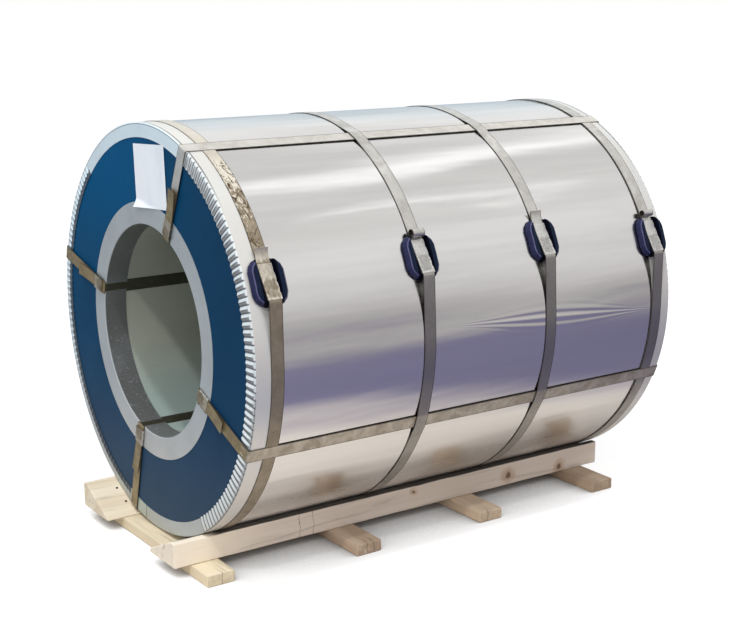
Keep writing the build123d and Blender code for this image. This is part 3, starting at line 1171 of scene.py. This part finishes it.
def make_nails(material):
    """Nail heads in the bevel of the left bearer."""
    low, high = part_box("bearer_left")
    slope = math.radians(seat_angle)
    normal = Vector((0, -math.sin(slope), math.cos(slope)))
    turn = normal.to_track_quat("Z", "Y").to_matrix().to_4x4()
    bm = bmesh.new()
    for along, up in nail_spots:
        z = low.z + bearer_noses["left"] + up * math.sin(slope)
        spot = Vector((low.x + along, low.y + up * math.cos(slope), z))
        bmesh.ops.create_cone(
            bm, cap_ends=True, segments=16, radius1=nail_radius, radius2=nail_top_radius, depth=nail_height,
            matrix=Matrix.Translation(spot) @ turn,
        )
    make_piece("nail_heads", bm, (material,))


# Stage, light and camera
def add_lamp(name, place, target, size, power, turn=0.0):
    """Soft rectangular lamp aimed at a target, turned about its own axis."""
    light = bpy.data.lights.new(name, "AREA")
    light.shape = "RECTANGLE"
    light.size, light.size_y = size
    light.energy = power
    lamp = bpy.data.objects.new(name, light)
    lamp.location = place
    lamp.rotation_euler = (target - place).to_track_quat("-Z", "Y").to_euler()
    lamp.rotation_euler.rotate_axis("Z", math.radians(turn))
    bpy.context.scene.collection.objects.link(lamp)
    return lamp


def make_floor():
    """Pale floor that keeps the shadow, with painted bands that only reflected rays see."""
    bm = bmesh.new()
    bmesh.ops.create_circle(bm, cap_ends=True, radius=floor_radius, segments=96)
    mesh = bpy.data.meshes.new("floor")
    bm.to_mesh(mesh)
    bm.free()
    floor = bpy.data.objects.new("floor", mesh)
    bpy.context.scene.collection.objects.link(floor)
    paint = start_paint("pale_floor")
    paint.tree.nodes.clear()
    seen = paint.add("ShaderNodeLightPath").outputs["Is Camera Ray"]
    x, y, z = paint.parts(paint.place())
    aside = paint.plus(paint.maths("ABSOLUTE", y), paint.times(x, 0.30))
    bands = paint.ramp(paint.over(aside, floor_radius), (
        (0.072, (0.76, 0.70, 0.64)), (0.106, (0.165, 0.156, 0.255)), (0.30, (0.175, 0.165, 0.26)),
        (0.43, (0.34, 0.32, 0.36)), (0.80, (0.55, 0.53, 0.52)),
    ))
    bands = paint.blot(bands, (0.38, 0.38, 0.39), x, -0.55, -0.95)
    matt = paint.add("ShaderNodeBsdfDiffuse", {"Color": paint.mix(seen, bands, grey(0.42))}).outputs[0]
    shelter = paint.add("ShaderNodeAmbientOcclusion", {"Distance": floor_shelter}, samples=8).outputs["AO"]
    strength = paint.times(seen, paint.ease(shelter, 0.10, 0.55), 0.72)
    glow = paint.add("ShaderNodeEmission", {"Strength": strength}).outputs[0]
    both = paint.add("ShaderNodeAddShader", {0: matt, 1: glow}).outputs[0]
    paint.add("ShaderNodeOutputMaterial", {"Surface": both})
    mesh.materials.append(paint.owner)


def make_world():
    """White background for the camera, and a graded sky for the light and the reflections."""
    world = bpy.data.worlds.new("studio")
    bpy.context.scene.world = world
    paint = Paint(world)
    paint.tree.nodes.clear()
    x, y, z = paint.parts(paint.add("ShaderNodeTexCoord").outputs["Generated"])
    level = paint.times(paint.plus(z, 1.0), 0.5)
    sky = paint.ramp(level, (
        (0.0, (0.50, 0.47, 0.44)), (0.50, (0.53, 0.51, 0.505)), (0.578, (0.69, 0.67, 0.665)),
        (0.67, (0.835, 0.825, 0.815)), (0.787, (0.93, 0.92, 0.91)), (0.854, (0.79, 0.78, 0.765)),
        (0.90, (0.76, 0.75, 0.735)), (1.0, grey(0.82)),
    ))
    behind = paint.ramp(level, (
        (0.50, (0.42, 0.53, 0.63)), (0.552, (0.56, 0.66, 0.73)), (0.604, (0.70, 0.78, 0.82)),
        (0.679, (0.88, 0.95, 0.99)), (0.794, (1.08, 1.07, 1.05)), (0.883, grey(0.95)), (1.0, grey(0.9)),
    ))
    sky = paint.blot(sky, behind, y, 0.25, 0.65, 0.95)
    seen = paint.add("ShaderNodeLightPath").outputs["Is Camera Ray"]
    colour = paint.mix(seen, sky, grey(1.0))
    back = paint.add("ShaderNodeBackground", {"Color": colour, "Strength": 1.0}).outputs[0]
    paint.add("ShaderNodeOutputWorld", {"Surface": back})


def make_stage():
    """Floor, background, lamps and camera."""
    make_floor()
    make_world()
    for name, spot, size, power, turn in down_lamps:
        place = Vector(spot)
        add_lamp(name, place, Vector((place.x, place.y, 0)), size, power, turn)
    mouth = Vector((face_x, axis.y, axis.z))
    hidden = [
        add_lamp(name, mouth + Vector(toward) * lamp_reach, mouth, (0.25, 0.25), power)
        for name, toward, power in eye_lamps
    ]
    hidden.append(add_lamp("fill_light", fill_place, axis, (3.0, 3.0), 25))
    for lamp in hidden:
        lamp.visible_glossy = False

    scene = bpy.context.scene
    camera = bpy.data.cameras.new("camera")
    camera.lens = camera_lens
    camera.sensor_width = 36
    camera.sensor_fit = "HORIZONTAL"
    holder = bpy.data.objects.new("camera", camera)
    holder.location = camera_place
    holder.rotation_euler = (math.radians(90 - camera_dip), 0, math.radians(-camera_turn))
    scene.collection.objects.link(holder)
    scene.camera = holder
    scene.view_settings.view_transform = "Standard"


# Put it together
zinc_wrap = galvanised_wrap()
rim_zinc = ring_zinc("rim_zinc", (0.69, 0.68, 0.65), (0.80, 0.92, 0.99), (0.44, 0.47, 0.47), 0.45, True)
# The inner rings' side tone, on the lip inside the bore, is a dark copy of their zinc: painted shade inside
# the bore.
eye_zinc = ring_zinc(
    "eye_zinc", (0.20, 0.205, 0.21), (0.52, 0.575, 0.605), (0.64, 0.635, 0.62), 0.60, False
)
blue = blue_disc()
bronze = strap_finish("bronze_strap", (0.30, 0.238, 0.125), (0.185, 0.146, 0.076), 0.4)
worn_bronze = strap_finish("worn_bronze_strap", (0.50, 0.465, 0.40), (0.32, 0.285, 0.225), 0.8)
# A dark copy of the bronze for the parts of a strap inside the bore and inside a curl: painted shade.
painted_shade_bronze = strap_finish("painted_shade_bronze_strap", (0.13, 0.125, 0.095), (0.09, 0.085, 0.06), 0.8)
# A pale copy of the strap finish for the outer part of the first eye strap: painted reflection of the sky.
painted_sheen_strap = strap_finish("painted_sheen_strap", (0.80, 0.78, 0.73), (0.66, 0.635, 0.59), 0.9)
flaked_bronze = strap_finish("flaked_strap", (0.37, 0.31, 0.225), (0.25, 0.205, 0.14), 0.6, 0.30, True)
steel_strap = strap_finish("steel_strap", (0.74, 0.73, 0.695), (0.59, 0.575, 0.545), 1.0, 0.66)
brown_seal = seal_finish(
    "brown_seal", (95.0, 95.0, 38.0), ((0.12, 0.075, 0.04), (0.42, 0.36, 0.27), (0.72, 0.67, 0.58))
)
bronze_seal = seal_finish("bronze_seal", 60, ((0.14, 0.11, 0.075), (0.30, 0.25, 0.17), (0.50, 0.46, 0.38)))
bright_seal = seal_finish("bright_seal", 190, ((0.30, 0.29, 0.28), (0.54, 0.53, 0.51), (0.76, 0.76, 0.74)))
# Four copies of one plastic: the top gets painted shade, the rim a painted highlight and the channel a
# painted shadow; the sides carry the plastic's own tone.
pad_finishes = (
    pad_plastic("pad_plastic", (0.003, 0.009, 0.028), (0.008, 0.015, 0.042), 0.12),
    pad_plastic("pad_rim_highlight_plastic", (0.065, 0.063, 0.150), (0.140, 0.132, 0.240), 0.50),
    pad_plastic("pad_channel_shadow_plastic", (0.002, 0.003, 0.008), (0.004, 0.006, 0.014), 0.05),
    pad_plastic("pad_side_plastic", (0.012, 0.015, 0.055), (0.023, 0.026, 0.080), 0.25),
)
left_pine = pine("pine_left", "X", (0.79, 0.715, 0.565), (0.69, 0.59, 0.44))
front_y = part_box("bearer_right")[0].y
right_pine = pine(
    "pine_right", "X", (0.71, 0.63, 0.555), (0.59, 0.51, 0.44),
    [((x, front_y, z), size) for x, z, size in bearer_knots], bearer_cuts,
    fresh_end=bearer_fresh_end, painted_top_shadow=True,
)
board_tones = (
    ((0.83, 0.75, 0.57), (0.71, 0.61, 0.44)), ((0.60, 0.47, 0.355), (0.45, 0.335, 0.24)),
    ((0.76, 0.63, 0.475), (0.61, 0.48, 0.35)), ((0.54, 0.42, 0.305), (0.42, 0.315, 0.225)),
)
board_pines = []
for number, tones in enumerate(board_tones):
    low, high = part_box(f"cross_board_{number + 1}")
    cracks = [(low.x + share * (high.x - low.x), low.y, length) for share, length in board_splits[number]]
    board_pines.append(pine(f"pine_board_{number + 1}", "Y", *tones, splits=cracks, end_shade=0.55))

make_wrap(zinc_wrap)
make_liner(liner_sheet())
for end in ("front", "back"):
    make_disc(end, blue)
    make_inner_ring(end, eye_zinc)
    make_outer_ring(end, rim_zinc)
for number in range(4):
    first = number == 0
    strap = flaked_bronze if first else steel_strap
    make_girth_strap(number, strap)
    make_pad(number, pad_finishes)
    make_girth_seal(number, brown_seal if first else bright_seal)
    make_tail_roll(number, (brown_seal if first else strap, painted_shade_bronze))
    outer_strap, outer_from = (painted_sheen_strap, eye_tail[1]) if first else (worn_bronze, rim_radius - eye_fold)
    make_eye_strap(number, (bronze, outer_strap, painted_shade_bronze), outer_from)
    make_eye_seal(number, bronze_seal)
    make_board(number + 1, board_pines[number])
make_label(label_paper())
make_bearer("left", left_pine)
make_bearer("right", right_pine)
make_nails(nail_head())
core = frame["nodes"]["steel_coil"]
core.data.materials.clear()
core.data.materials.append(zinc_wrap)
make_stage()
